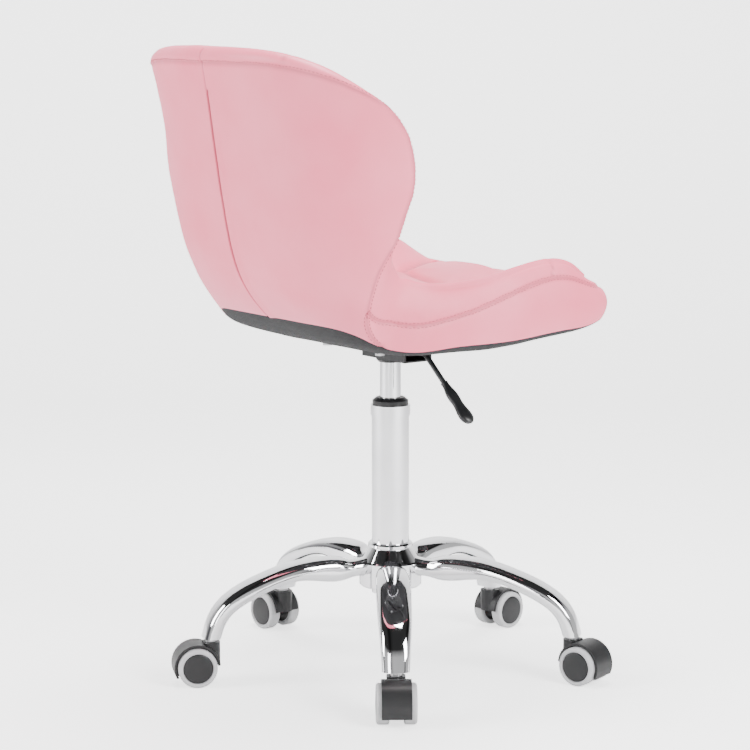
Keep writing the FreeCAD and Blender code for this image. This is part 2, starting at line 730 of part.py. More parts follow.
def beyond(station, sign=1):
    """A block that takes everything past one section's plane, towards the back or, with
    sign -1, towards the front."""
    along = Vector(0, station.normal.z, -station.normal.y) * sign
    turn = Rotation(Vector(0, 0, 1), along)
    corner = Vector(0, station.y, station.z) - turn.multVec(Vector(HALF_SPACE / 2, HALF_SPACE / 2, 0))
    slab = Part.makeBox(HALF_SPACE, HALF_SPACE, HALF_SPACE)
    slab.Placement = Placement(corner, turn)
    return slab


# ---------------------------------------------------------------- build, check and export

def check_document():
    failed = [item.Name for item in doc.Objects
              if any(word in state for state in item.State for word in ("Invalid", "Error"))]
    if failed:
        raise RuntimeError(f"objects that failed to compute: {failed}")
    labels = [item.Label for item in parts]
    if len(set(labels)) != len(labels):
        raise RuntimeError("two sub-parts share a name")
    for item in parts:
        shape = item.Shape
        if shape.isNull() or not shape.isValid() or not shape.Solids:
            raise RuntimeError(f"{item.Label} has no valid solid")


def export_parts():
    os.makedirs("parts", exist_ok=True)
    for item in parts:
        item.Shape.exportStep(f"parts/{item.Label}.step")
    print(f"{len(parts)} sub-parts written")


parts = []
fill_sheet()
make_column()
make_gas_spring()
make_mechanism()
make_lever()
make_arms()
make_casters()
make_upholstery()
doc.recompute()
check_document()
export_parts()
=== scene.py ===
import json
import math

import bmesh
import bpy
import numpy as np
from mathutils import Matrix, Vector, noise
from mathutils.bvhtree import BVHTree
from mathutils.kdtree import KDTree


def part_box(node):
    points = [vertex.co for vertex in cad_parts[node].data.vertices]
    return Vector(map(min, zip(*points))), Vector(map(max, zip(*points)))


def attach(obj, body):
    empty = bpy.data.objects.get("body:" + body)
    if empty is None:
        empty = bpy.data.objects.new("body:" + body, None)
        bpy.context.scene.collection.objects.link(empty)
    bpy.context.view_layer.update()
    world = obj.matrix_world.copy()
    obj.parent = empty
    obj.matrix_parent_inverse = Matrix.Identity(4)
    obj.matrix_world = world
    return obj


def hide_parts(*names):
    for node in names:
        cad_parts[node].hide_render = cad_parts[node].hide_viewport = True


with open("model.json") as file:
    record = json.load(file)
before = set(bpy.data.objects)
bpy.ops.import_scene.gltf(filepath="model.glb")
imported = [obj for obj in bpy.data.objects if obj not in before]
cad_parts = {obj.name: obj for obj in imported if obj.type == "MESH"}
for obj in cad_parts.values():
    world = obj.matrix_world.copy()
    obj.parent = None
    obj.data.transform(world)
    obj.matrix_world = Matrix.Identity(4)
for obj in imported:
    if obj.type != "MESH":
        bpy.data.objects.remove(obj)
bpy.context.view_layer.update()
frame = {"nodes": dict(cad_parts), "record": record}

MM = 0.001

# ---------------------------------------------------------------- upholstery stations
# Each row is a place along the bucket's centre line, from the front of the seat over the bend to the
# top of the back: y, z, half width, edge rise, thickness, inner rise, roundness, inner width, edge
# bulge and the height of the side seam on the edge strip, lengths in millimetres.
STATIONS = (
    ("front", -222, 482, 190, 8, 46, 2, 4.0, 0.95, 24, 0.72),
    ("lip", -200, 470, 198, 10, 55, 22, 4.0, 0.95, 21, 0.84),
    ("thigh", -125, 455, 206, 16, 60, 48, 4.0, 0.93, 12, 0.84),
    ("centre", -40, 447, 208, 18, 62, 40, 4.0, 0.93, 9, 0.74),
    ("rear", 40, 447, 204, 17, 61, 34, 4.0, 0.93, 8, 0.50),
    ("hip", 110, 452, 190, 9, 62, 38, 4.0, 0.94, 7, 0.36),
    ("turn", 143, 462, 176, 6, 60, 46, 4.0, 0.99, 7, 0.33),
    ("heel", 165, 472, 173, 15, 58, 52, 3.5, 1.01, 6, 0.20),
    ("bend", 208, 506, 194, 57, 54, 60, 3.0, 0.92, 5, 0.0),
    ("loin", 239, 552, 208, 102, 50, 64, 3.0, 0.89, 4, 0.0),
    ("lumbar", 255, 604, 220, 118, 48, 80, 3.0, 0.88, 4, 0.0),
    ("wing", 265, 660, 232, 137, 46, 101, 3.1, 0.88, 4, 0.0),
    ("blade", 274, 716, 236, 134, 44, 97, 2.7, 0.87, 3, 0.0),
    ("shoulder", 281, 766, 237, 100, 42, 62, 2.35, 0.86, 3, 0.0),
    ("top", 290, 818, 236, 80, 40, 40, 2.2, 0.86, 3, 0.0),
)
# How far round a section's arc the sheet's edge lies.
WRAP = math.radians(72)
# The top and front edges fall back from their middle towards their corners, in millimetres of run;
# the padding's edges do so by their own share of that.
TOP_DROP, TOP_DROP_POWER, TOP_DROP_INNER = 60, 3.2, 1.2
FRONT_DROP, FRONT_DROP_POWER, FRONT_DROP_INNER = 22, 4, 0.7
# How far the edge strips stand out, in millimetres.
RIM_BULGE, RIM_CORNER_BULGE = 19, 3
RIM_OVERHANG = 8
FRONT_BULGE, FRONT_CORNER_LOSS = 26, 2
# Places between the heel and the bend: the hem's middle, and the rear tip of each side band.
HEM_CENTRE = 0.66
TIP_SHARE = 0.5
TIP_SEAM_HEIGHT, TIP_SEAM_POWER = 0.33, 0.8
# The shapes of the curves along the edges and across the strips.
RIM_BULGE_POWER, FRONT_BULGE_POWER, OVERHANG_POWER = 4, 4, 6
STRIP_POWER, OVERHANG_SHAPE = 0.8, 1.5
HEM_POWER = 3
INNER_RISE_POWER = 2.6
END_MARGIN = 0.003

names = [row[0] for row in STATIONS]
table = np.array([row[1:] for row in STATIONS], float)
table[:, :6] *= MM
table[:, 8] *= MM


def natural_spline(x, y):
    """A smooth curve through (x, y), as a function."""
    n = len(x)
    h = np.diff(x)
    a = np.zeros((n, n))
    b = np.zeros(n)
    a[0, 0] = a[-1, -1] = 1
    for i in range(1, n - 1):
        a[i, i - 1 : i + 2] = h[i - 1], 2 * (h[i - 1] + h[i]), h[i]
        b[i] = 6 * ((y[i + 1] - y[i]) / h[i] - (y[i] - y[i - 1]) / h[i - 1])
    m = np.linalg.solve(a, b)

    def value(s):
        i = np.clip(np.searchsorted(x, s) - 1, 0, n - 2)
        p, q = x[i + 1] - s, s - x[i]
        return (
            (m[i] * p**3 + m[i + 1] * q**3) / (6 * h[i])
            + (y[i] / h[i] - m[i] * h[i] / 6) * p
            + (y[i + 1] / h[i] - m[i + 1] * h[i] / 6) * q
        )

    return value


def steady_spline(x, y):
    """A curve through (x, y) that never overshoots, as a function."""
    h = np.diff(x)
    d = np.diff(y) / h
    m = np.zeros(len(x))
    m[0], m[-1] = d[0], d[-1]
    for i in range(1, len(x) - 1):
        if d[i - 1] * d[i] > 0:
            w1, w2 = 2 * h[i] + h[i - 1], h[i] + 2 * h[i - 1]
            m[i] = (w1 + w2) / (w1 / d[i - 1] + w2 / d[i])

    def value(s):
        i = np.clip(np.searchsorted(x, s) - 1, 0, len(x) - 2)
        t = (s - x[i]) / h[i]
        return (
            y[i] * (1 + 2 * t) * (1 - t) ** 2
            + h[i] * m[i] * t * (1 - t) ** 2
            + y[i + 1] * t * t * (3 - 2 * t)
            + h[i] * m[i + 1] * t * t * (t - 1)
        )

    return value


def softened(curve):
    """The same curve without its quick changes of slope."""
    margin, half_window, blur = 0.06, 30, 14
    places = np.arange(-margin, run[-1] + margin, MM)
    window = np.exp(-((np.arange(-half_window, half_window + 1) / blur) ** 2))
    values = np.convolve(curve(np.clip(places, 0, run[-1])), window / window.sum(), "same")
    return lambda s: np.interp(s, places, values)


run = np.concatenate([[0], np.cumsum(np.hypot(*np.diff(table[:, :2], axis=0).T))])
centre_y, centre_z = (natural_spline(run, table[:, i]) for i in (0, 1))
half_width, edge_rise, thickness, inner_rise, roundness, inner_width, bulge, seam_height = (
    softened(steady_spline(run, table[:, i])) for i in range(2, 10)
)
at = dict(zip(names, run))
RUN_END = run[-1]


def between(a, b, share):
    """The run that lies this share of the way from one station to the next."""
    return at[a] + (at[b] - at[a]) * share


def normal_at(s):
    """The direction into the seat, square to the centre line, as its y and z."""
    step = 0.002
    dy = centre_y(s + step) - centre_y(s - step)
    dz = centre_z(s + step) - centre_z(s - step)
    length = np.hypot(dy, dz)
    return -dz / length, dy / length


def sheet_point(s, u, inner):
    """A point of the outer or the inner sheet at run s and cross position u from -1 to 1."""
    s = np.clip(s, 0, RUN_END)
    ny, nz = normal_at(np.clip(s, END_MARGIN, RUN_END - END_MARGIN))
    size = np.abs(u)
    if inner:
        width = half_width(s) * inner_width(s)
        rise = thickness(s) + inner_rise(s) * size**INNER_RISE_POWER
    else:
        width = half_width(s)
        rise = edge_rise(s) * size ** roundness(s)
    x = np.sin(u * WRAP) / math.sin(WRAP) * width
    return np.stack([x, centre_y(s) + ny * rise, centre_z(s) + nz * rise], -1)


def front_run(u, extra=1):
    """The run of the front edge, which sweeps back towards its corners."""
    return FRONT_DROP * MM * extra * np.abs(u) ** FRONT_DROP_POWER


def top_run(u, extra=1):
    """The run of the top edge, which drops towards its corners."""
    return RUN_END - TOP_DROP * MM * extra * np.abs(u) ** TOP_DROP_POWER


def hem_run(u):
    """The run of the hem under the back, which is also the crease where the seat meets the back."""
    middle = between("heel", "bend", HEM_CENTRE)
    return at["turn"] + (middle - at["turn"]) * (1 - np.abs(u) ** HEM_POWER)


def graded(start, end, step, fine, reach, ends="both"):
    """Positions from start to end, closer together within reach of the ends named."""
    out = [start]
    length = end - start
    while out[-1] < end:
        a, b = out[-1] - start, end - out[-1]
        nearest = min(a if ends in ("both", "start") else length, b if ends in ("both", "end") else length)
        out.append(out[-1] + fine + (step - fine) * min(1, nearest / reach))
    out = np.array(out)
    return start + (out - start) * length / (out[-1] - start)


# Cross positions from the centre line out: close together at the centre slit and again at the edge.
half_lines = np.concatenate([[0, 0.0025, 0.005, 0.0085, 0.0125], graded(0.0175, 1, 0.024, 0.0055, 0.14)])
cross = np.concatenate([-half_lines[::-1], half_lines[1:]])
low_rows = graded(0, 1, 0.011, 0.004, 0.05)
tip = (between("heel", "bend", TIP_SHARE) - at["turn"]) / (top_run(1) - at["turn"])
high_rows = np.concatenate([graded(0, tip, 0.012, 0.006, 0.05)[:-1], graded(tip, 1, 0.014, 0.005, 0.06)])
band_lines = graded(0, 1, 0.11, 0.03, 0.3)
wrap_lines = graded(0, 1, 0.062, 0.015, 0.2, "start")


def sheet(inner):
    """The grid of a whole sheet, its rows from front to top, and the run of each of its points."""
    u = cross[None, :]
    start = front_run(u, FRONT_DROP_INNER if inner else 1)
    end = top_run(u, TOP_DROP_INNER if inner else 1)
    low = start + (hem_run(u) - start) * low_rows[:, None]
    high = hem_run(u) + (end - hem_run(u)) * high_rows[1:, None]
    s = np.concatenate([low, high])
    return sheet_point(s, np.broadcast_to(u, s.shape), inner), s


outer, outer_run = sheet(False)
inner, _ = sheet(True)
HEM = len(low_rows) - 1
TIP = HEM + int(np.argmin(np.abs(high_rows - tip)))
last_row, last_col = outer.shape[0] - 1, outer.shape[1] - 1

# The perimeter runs once round the bucket: along the front, up one side, over the top and back down.
loop = [(0, j) for j in range(0, last_col)]
loop += [(i, last_col) for i in range(0, last_row)]
loop += [(last_row, j) for j in range(last_col, 0, -1)]
loop += [(i, 0) for i in range(last_row, 0, -1)]
loop_i, loop_j = (np.array(v) for v in zip(*loop))
outer_loop, inner_loop = outer[loop_i, loop_j], inner[loop_i, loop_j]
loop_run, loop_u = outer_run[loop_i, loop_j], cross[loop_j]
on_front, on_top = loop_i == 0, loop_i == last_row


def round_smooth(values, passes):
    """Values round the perimeter, evened out with their neighbours."""
    for _ in range(passes):
        values = (np.roll(values, 1, 0) + 2 * values + np.roll(values, -1, 0)) / 4
    return values


# The edge strips join the two sheets. Each row runs from the outer sheet to the inner one, bulged
# outwards, and the rim also hangs a little behind the back.
tangent = np.roll(outer_loop, -1, 0) - np.roll(outer_loop, 1, 0)
across = inner_loop - outer_loop
outward = np.cross(tangent, across)
outward /= np.linalg.norm(outward, axis=1)[:, None]
outward = round_smooth(outward, 6)
outward /= np.linalg.norm(outward, axis=1)[:, None]
strip_bulge = bulge(loop_run)
rim_bulge = RIM_BULGE + (RIM_CORNER_BULGE - RIM_BULGE) * np.abs(loop_u) ** RIM_BULGE_POWER
front_bulge = FRONT_BULGE - FRONT_CORNER_LOSS * np.abs(loop_u) ** FRONT_BULGE_POWER
strip_bulge = np.where(on_top, MM * rim_bulge, strip_bulge)
strip_bulge = np.where(on_front, MM * front_bulge, strip_bulge)
strip_bulge = round_smooth(strip_bulge[:, None], 8)[:, 0]
seam_share = seam_height(loop_run)
past_tip = (loop_i >= TIP) | on_top
into = (loop_run - at["turn"]) / (between("heel", "bend", TIP_SHARE) - at["turn"])
tip_seam = TIP_SEAM_HEIGHT * np.clip(1 - into, 0, 1) ** TIP_SEAM_POWER
seam_share = np.where((into > 0) & ~on_front, tip_seam, seam_share)
seam_share = np.where(past_tip, 0, seam_share)
below_seam = seam_share[:, None] * band_lines[None, :-1]
above_seam = seam_share[:, None] + (1 - seam_share[:, None]) * wrap_lines[None, :]
shares = np.concatenate([below_seam, above_seam], axis=1)
SEAM = len(band_lines) - 1
behind = np.where(on_top, RIM_OVERHANG * MM * (1 - np.abs(loop_u) ** OVERHANG_POWER), 0)
behind = round_smooth(behind[:, None], 10)[:, 0]
facing = -across / np.linalg.norm(across, axis=1)[:, None]
standing = strip_bulge[:, None] * np.sin(np.pi * shares) ** STRIP_POWER
hanging = behind[:, None] * np.sin(np.pi * np.sqrt(shares)) ** OVERHANG_SHAPE
strip = (
    outer_loop[:, None] * (1 - shares[..., None])
    + inner_loop[:, None] * shares[..., None]
    + outward[:, None] * standing[..., None]
    + facing[:, None] * hanging[..., None]
)

# ---------------------------------------------------------------- one closed surface, then its pieces
points, quads, tags = [], [], []


def add_grid(grid, tag_of, closed=False, flip=False):
    """Adds a grid's faces to the surface, each with the tag of the panel it belongs to."""
    start = sum(len(p) for p in points)
    rows, cols = grid.shape[:2]
    points.append(grid.reshape(-1, 3))
    index = start + np.arange(rows * cols).reshape(rows, cols)
    for i in range(rows if closed else rows - 1):
        a, b = index[i], index[(i + 1) % rows]
        for j in range(cols - 1):
            tag = tag_of(i, j)
            if tag is None:
                continue
            quad = (a[j], a[j + 1], b[j + 1], b[j])
            quads.append(quad[::-1] if flip else quad)
            tags.append(tag)


middle = last_col // 2
SAME_PLACE = 1e-6


def outer_tag(i, j):
    if i < HEM:
        return "dust_cloth"
    return "rear_cover_left" if j >= middle else "rear_cover_right"


def inner_tag(i, j):
    return "seat_cushion" if i < HEM else "back_cushion"


def strip_tag(i, j):
    if j < SEAM:
        if past_tip[i] or past_tip[(i + 1) % len(past_tip)] and not seam_share[i]:
            return None
        on_left = outer_loop[i, 0] + outer_loop[(i + 1) % len(loop), 0] > 0
        return "side_band_left" if on_left else "side_band_right"
    row = min(loop_i[i], loop_i[(i + 1) % len(loop)])
    return "seat_cushion" if row < HEM else "back_cushion"


add_grid(outer, outer_tag, flip=True)
add_grid(inner, inner_tag)
add_grid(strip, strip_tag, closed=True, flip=True)
points = np.concatenate(points)
places = np.round(points / SAME_PLACE).astype(np.int64)
_, first, merged = np.unique(places, axis=0, return_index=True, return_inverse=True)
merged = merged.reshape(-1)
points = points[first]
quads = merged[np.array(quads)]
tags = np.array(tags)
inner_start = outer.shape[0] * outer.shape[1]
strip_start = 2 * inner_start
ids_outer = merged[:inner_start].reshape(outer.shape[:2])
ids_inner = merged[inner_start:strip_start].reshape(inner.shape[:2])
ids_strip = merged[strip_start:].reshape(strip.shape[:2])

edges = np.concatenate([quads[:, [0, 1]], quads[:, [1, 2]], quads[:, [2, 3]], quads[:, [3, 0]]])
edges = np.unique(np.sort(edges, axis=1), axis=0)
edges = edges[edges[:, 0] != edges[:, 1]]


def smoothed(values, weight, passes):
    """values moved towards the mean of their neighbours, as much as weight says."""
    count = np.zeros(len(values))
    np.add.at(count, edges[:, 0], 1)
    np.add.at(count, edges[:, 1], 1)
    for _ in range(passes):
        total = np.zeros_like(values)
        np.add.at(total, edges[:, 0], values[edges[:, 1]])
        np.add.at(total, edges[:, 1], values[edges[:, 0]])
        mean = total / np.maximum(count, 1)[:, None]
        values = values + (mean - values) * weight[:, None]
    return values


def normals_of(p):
    d1, d2 = p[quads[:, 2]] - p[quads[:, 0]], p[quads[:, 3]] - p[quads[:, 1]]
    face = np.cross(d1, d2)
    out = np.zeros_like(p)
    for k in range(4):
        np.add.at(out, quads[:, k], face)
    return out / np.maximum(np.linalg.norm(out, axis=1), 1e-12)[:, None]


def distance_to(ids, p=None):
    """How far each vertex is from the nearest of these vertices."""
    ids = np.unique(ids)
    tree = KDTree(len(ids))
    base = points if p is None else p
    for k in ids:
        tree.insert(base[k], int(k))
    tree.balance()
    return np.array([tree.find(v)[2] for v in base])


def near(distance, reach):
    """How strongly to smooth: most at no distance, hardly at all past reach."""
    return 0.5 * np.exp(-((distance / reach) ** 2))


# How far each rounding reaches, in metres, and how many passes it takes.
EDGE_ROUNDING, EDGE_PASSES = 0.034, 90
SHARP_EDGE = 0.006
TOP_CORNER_ROUNDING, TOP_CORNER_PASSES = 0.035, 50
FRONT_CORNER_ROUNDING, FRONT_CORNER_PASSES = 0.030, 40
edge_distance = distance_to(ids_inner[loop_i, loop_j])
outer_distance = distance_to(ids_outer[loop_i, loop_j])
weight = near(edge_distance, EDGE_ROUNDING) * np.clip(outer_distance / SHARP_EDGE, 0, 1)
points = smoothed(points, weight, EDGE_PASSES)
top_corners = distance_to([ids[last_row, j] for ids in (ids_inner, ids_outer) for j in (0, last_col)])
front_corners = distance_to([ids_inner[0, j] for j in (0, last_col)])
points = smoothed(points, near(top_corners, TOP_CORNER_ROUNDING), TOP_CORNER_PASSES)
points = smoothed(points, near(front_corners, FRONT_CORNER_ROUNDING), FRONT_CORNER_PASSES)
points = smoothed(points, np.full(len(points), 0.25), 3)
normals = normals_of(points)

# ---------------------------------------------------------------- seams, quilting and creases
seam_side = [ids_strip[i, SEAM] for i in range(len(loop)) if not past_tip[i]]
seam_rear = ids_outer[loop_i[(loop_i >= HEM)], loop_j[(loop_i >= HEM)]]
seam_centre = ids_outer[HEM:, middle]
seam_waist = ids_inner[HEM, 3:-3]

QUILT_LINES = (
    ((0, -90), (176, 154)),
    ((0, -90), (-176, 154)),
    ((0, -90), (120, -110)),
    ((0, -90), (-120, -110)),
    ((176, 154), (120, -110), (134, -145), (155, -188), (151, -225)),
    ((-176, 154), (-120, -110), (-134, -145), (-155, -188), (-151, -225)),
    ((0, -90), (0, -240)),
)


def line_distance(p, line):
    """Plan distance of each vertex from a line of straight runs."""
    best = np.full(len(p), 9.0)
    for a, b in zip(line, line[1:]):
        a, b = np.array(a) * MM, np.array(b) * MM
        along = np.clip(((p[:, :2] - a) @ (b - a)) / ((b - a) @ (b - a)), 0, 1)
        best = np.minimum(best, np.linalg.norm(p[:, :2] - (a + along[:, None] * (b - a)), axis=1))
    return best


def rough(p, scale, seed, stretch=(1, 1, 1)):
    """Smooth random values over the surface, the same each time the script is run."""
    offset = Vector((seed * 7.3, seed * 1.9, seed * 3.1))
    s = np.array(stretch) * scale
    return np.array([noise.noise(Vector(v * s) + offset) for v in p])


def groove(distance, depth, width):
    """A shallow channel along a line, its depth and width in millimetres."""
    return -depth * MM * np.exp(-((distance / (width * MM)) ** 2))


def fades(distance, width):
    """One on a line, falling smoothly to nothing past width."""
    return np.exp(-((distance / width) ** 2))


def marked(ids):
    """True for the vertices with these indices."""
    out = np.zeros(len(points), bool)
    out[ids.reshape(-1)] = True
    return out


is_inner = marked(ids_inner[: HEM + 1])
is_strip = marked(ids_strip[:, SEAM:])
is_rear = marked(ids_outer[HEM:])
d_side = distance_to(seam_side)
d_rear = distance_to(seam_rear)
d_centre = distance_to(seam_centre)
d_waist = distance_to(seam_waist)

# The quilting: each line is sewn down, and the pads between the lines stand up.
FACES_UP = 0.2
NOT_QUILTED = 1.0
QUILT_DEPTH, QUILT_GROOVE = 6.5, 6
PAD_RISE, PAD_SLOPE = 7.0 * MM, 0.032
quilt = np.min([line_distance(points, line) for line in QUILT_LINES], axis=0)
quilt = np.where(is_inner & (normals[:, 2] > FACES_UP), quilt, NOT_QUILTED)
pads = PAD_RISE * (1 - fades(quilt, PAD_SLOPE))
shift = groove(quilt, QUILT_DEPTH, QUILT_GROOVE) + np.where(quilt < NOT_QUILTED / 2, pads, 0)

# The sewn edges sink, and the padding swells beside them.
SWELL, SWELL_SLOPE = 1.6 * MM, 0.012
shift += groove(d_side, 1.6, 2.6) + groove(d_rear, 1.2, 2.6) + groove(d_waist, 4.0, 6.0)
seams = np.minimum(d_side, d_rear)
shift += np.where(is_strip | is_inner, SWELL * (1 - fades(seams, SWELL_SLOPE)), 0)

# The flap down the middle of the back, with an open slit beside it from FLAP_TOP down to the hem.
FLAP_TOP, FLAP_FADE = 0.785, 6 * MM
FLAP_WIDTH, FLAP_RISE = 15 * MM, 1.8 * MM
FLAP_FOLD, FLAP_STEP = 0.5 * MM, 1.2 * MM
STITCH_LINE = 12 * MM
SLIT_CENTRE, SLIT_WIDTH, SLIT_DEPTH = 2.4 * MM, 2.7 * MM, 7 * MM
on_flap = is_rear * np.clip((FLAP_TOP - points[:, 2]) / FLAP_FADE, 0, 1)
across_flap = -points[:, 0]
inside = 1 / (1 + np.exp(-(across_flap - SLIT_CENTRE) / FLAP_FOLD))
raised = inside / (1 + np.exp((across_flap - FLAP_WIDTH) / FLAP_STEP))
slit = np.exp(-(((across_flap - SLIT_CENTRE) / SLIT_WIDTH) ** 4))
shift += on_flap * (FLAP_RISE * raised - SLIT_DEPTH * slit)
shift += (is_rear - on_flap) * groove(d_centre, 1.3, 2.4)
shift += on_flap * groove(np.abs(across_flap - STITCH_LINE), 0.8, 1.6)

# Short seams that join the rim's lengths, and one across each bolster.
RIM_JOINTS = (-150, 0, 150)
RIM_FOOT = 0.80
BOLSTER_JOINT, BOLSTER_LEAN, BOLSTER_HEIGHT, BOLSTER_INNER = -0.112, 0.35, 0.545, 0.150
JOINT_DEPTH, JOINT_WIDTH = 1.4, 1.8
on_rim = is_strip & (points[:, 2] > RIM_FOOT)
rim_joint = np.min([np.abs(points[:, 0] - x * MM) for x in RIM_JOINTS], axis=0)
shift += np.where(on_rim, groove(rim_joint, JOINT_DEPTH, JOINT_WIDTH), 0)
bolster_joint = np.abs(points[:, 1] - BOLSTER_JOINT + BOLSTER_LEAN * (points[:, 2] - BOLSTER_HEIGHT))
on_bolster = (is_strip | is_inner) & (np.abs(points[:, 0]) > BOLSTER_INNER) & (points[:, 1] < 0)
shift += np.where(on_bolster, groove(bolster_joint, JOINT_DEPTH, JOINT_WIDTH), 0)

# Slow waves and folds all over, and puckers close to the seams; each has a scale and a height.
WAVE_SCALE, FOLD_SCALE, PUCKER_SCALE = 14, 30, 150
WAVE_HEIGHT, FOLD_HEIGHT, PUCKER_HEIGHT, PUCKER_REACH = 0.7, 0.35, 0.9, 0.012
waves = rough(points, WAVE_SCALE, 1)
folds = rough(points, FOLD_SCALE, 2, (1, 1, 2.2))
puckers = rough(points, PUCKER_SCALE, 3) * np.exp(-np.minimum(seams, quilt) / PUCKER_REACH)
shift += MM * (WAVE_HEIGHT * waves + FOLD_HEIGHT * folds + PUCKER_HEIGHT * puckers)
shape = points + normals * shift[:, None]

# Painted shade in the seams, quilting grooves and joints, and painted shadow in the slit: this is how much
# darker the leather is drawn there.
SEAM_SHADE, JOINT_SHADE = 0.35, 0.3
SEAM_LINE, CENTRE_LINE, JOINT_LINE = 0.0030, 0.0015, 0.0016
shade = SEAM_SHADE * fades(np.minimum(seams, quilt), SEAM_LINE)
shade += is_rear * (1 - on_flap) * JOINT_SHADE * fades(d_centre, CENTRE_LINE)
shade = np.maximum(shade, JOINT_SHADE * on_rim * fades(rim_joint, JOINT_LINE))
shade = np.maximum(shade, JOINT_SHADE * on_bolster * fades(bolster_joint, JOINT_LINE))
# Painted shadow: the open slit beside the flap is drawn in the full dark red.
shade = np.maximum(shade, on_flap * slit)


# ---------------------------------------------------------------- materials
def material(name):
    m = bpy.data.materials.new(name)
    m.use_nodes = True
    tree = m.node_tree
    tree.nodes.clear()
    out = tree.nodes.new("ShaderNodeOutputMaterial")
    shader = tree.nodes.new("ShaderNodeBsdfPrincipled")
    tree.links.new(shader.outputs[0], out.inputs[0])
    return m, tree, shader


def node(tree, kind, values=None, **settings):
    n = tree.nodes.new(kind)
    for key, value in settings.items():
        setattr(n, key, value)
    for key, value in (values or {}).items():
        n.inputs[key].default_value = value
    return n


def object_noise(tree, scale, detail=4):
    where = node(tree, "ShaderNodeTexCoord")
    n = node(tree, "ShaderNodeTexNoise", {"Scale": scale, "Detail": detail, "Roughness": 0.5})
    tree.links.new(where.outputs["Object"], n.inputs["Vector"])
    return n


def ramp(tree, source, low, high, a=0.3, b=0.7):
    r = node(tree, "ShaderNodeValToRGB")
    r.color_ramp.elements[0].position, r.color_ramp.elements[1].position = a, b
    r.color_ramp.elements[0].color, r.color_ramp.elements[1].color = (*low, 1), (*high, 1)
    tree.links.new(source, r.inputs[0])
    return r


def span(tree, source, low, high):
    r = node(tree, "ShaderNodeMapRange", {"To Min": low, "To Max": high})
    tree.links.new(source, r.inputs[0])
    return r


def bump(tree, height, shader, strength, distance):
    b = node(tree, "ShaderNodeBump", {"Strength": strength, "Distance": distance})
    tree.links.new(height, b.inputs["Height"])
    tree.links.new(b.outputs[0], shader.inputs["Normal"])


def leather():
    m, t, s = material("pink_leather")
    tone = ramp(t, object_noise(t, 9).outputs[0], (0.89, 0.165, 0.255), (0.95, 0.225, 0.320))
    # Painted shade: the leather is mixed towards dark red in its seams, quilting grooves, joints and slit,
    # as much as this attribute says.
    attribute = node(t, "ShaderNodeAttribute", attribute_name="crease_shade")
    mix = node(t, "ShaderNodeMix", data_type="RGBA")
    mix.inputs["B"].default_value = (0.13, 0.012, 0.022, 1)
    t.links.new(attribute.outputs["Fac"], mix.inputs["Factor"])
    t.links.new(tone.outputs[0], mix.inputs["A"])
    t.links.new(mix.outputs["Result"], s.inputs["Base Color"])
    t.links.new(span(t, object_noise(t, 60).outputs[0], 0.36, 0.50).outputs[0], s.inputs["Roughness"])
    s.inputs["Specular IOR Level"].default_value = 0.35
    s.inputs["Coat Weight"].default_value = 0.05
    s.inputs["Coat Roughness"].default_value = 0.30
    where = node(t, "ShaderNodeTexCoord")
    grain = node(t, "ShaderNodeTexVoronoi", {"Scale": 750})
    t.links.new(where.outputs["Object"], grain.inputs["Vector"])
    bump(t, grain.outputs["Distance"], s, 0.16, 0.0006)
    return m


BUMP_DEPTH = 0.5 * MM


def plain(name, low, high, scale, rough_low, rough_high, metal, bump_scale, strength):
    """A material whose colour and roughness vary a little, with a fine bump."""
    m, t, s = material(name)
    n = object_noise(t, scale)
    t.links.new(ramp(t, n.outputs[0], low, high).outputs[0], s.inputs["Base Color"])
    roughness = span(t, object_noise(t, scale * 3).outputs[0], rough_low, rough_high)
    t.links.new(roughness.outputs[0], s.inputs["Roughness"])
    s.inputs["Metallic"].default_value = metal
    bump(t, object_noise(t, bump_scale, 2).outputs[0], s, strength, BUMP_DEPTH)
    return m


LEATHER = leather()
# Name, colour from and to, noise scale, roughness from and to, metallic, bump scale and strength.
CHROME = plain("polished_chrome", (0.80, 0.80, 0.82), (0.88, 0.88, 0.90), 18, 0.03, 0.09, 1, 500, 0.01)
STEEL = plain("plated_steel", (0.50, 0.50, 0.51), (0.62, 0.62, 0.63), 40, 0.25, 0.38, 1, 300, 0.05)
BLACK_STEEL = plain(
    "painted_steel", (0.010, 0.010, 0.011), (0.020, 0.020, 0.022), 30, 0.30, 0.42, 0, 400, 0.10
)
BLACK_PLASTIC = plain(
    "moulded_plastic", (0.005, 0.005, 0.006), (0.009, 0.009, 0.010), 25, 0.34, 0.46, 0, 1400, 0.10
)
TREAD = plain("wheel_tread", (0.42, 0.42, 0.43), (0.50, 0.50, 0.51), 60, 0.42, 0.55, 0, 700, 0.10)
LINING = plain("lining_cloth", (0.008, 0.008, 0.009), (0.018, 0.018, 0.020), 200, 0.80, 0.95, 0, 1600, 0.6)
PLY = plain("moulded_ply", (0.45, 0.30, 0.17), (0.58, 0.40, 0.24), 30, 0.55, 0.70, 0, 200, 0.2)
# The thread is drawn darker than the leather: partly the thread's own colour, partly painted shade along
# the stitches.
THREAD = plain("sewing_thread", (0.46, 0.085, 0.125), (0.56, 0.12, 0.165), 400, 0.55, 0.70, 0, 3000, 0.5)


# ---------------------------------------------------------------- pieces
def mesh_object(name, vertices, faces, finish):
    mesh = bpy.data.meshes.new(name)
    mesh.from_pydata([tuple(v) for v in vertices], [], [tuple(int(k) for k in f) for f in faces])
    mesh.polygons.foreach_set("use_smooth", [True] * len(mesh.polygons))
    mesh.materials.append(finish)
    obj = bpy.data.objects.new(name, mesh)
    bpy.context.scene.collection.objects.link(obj)
    return obj


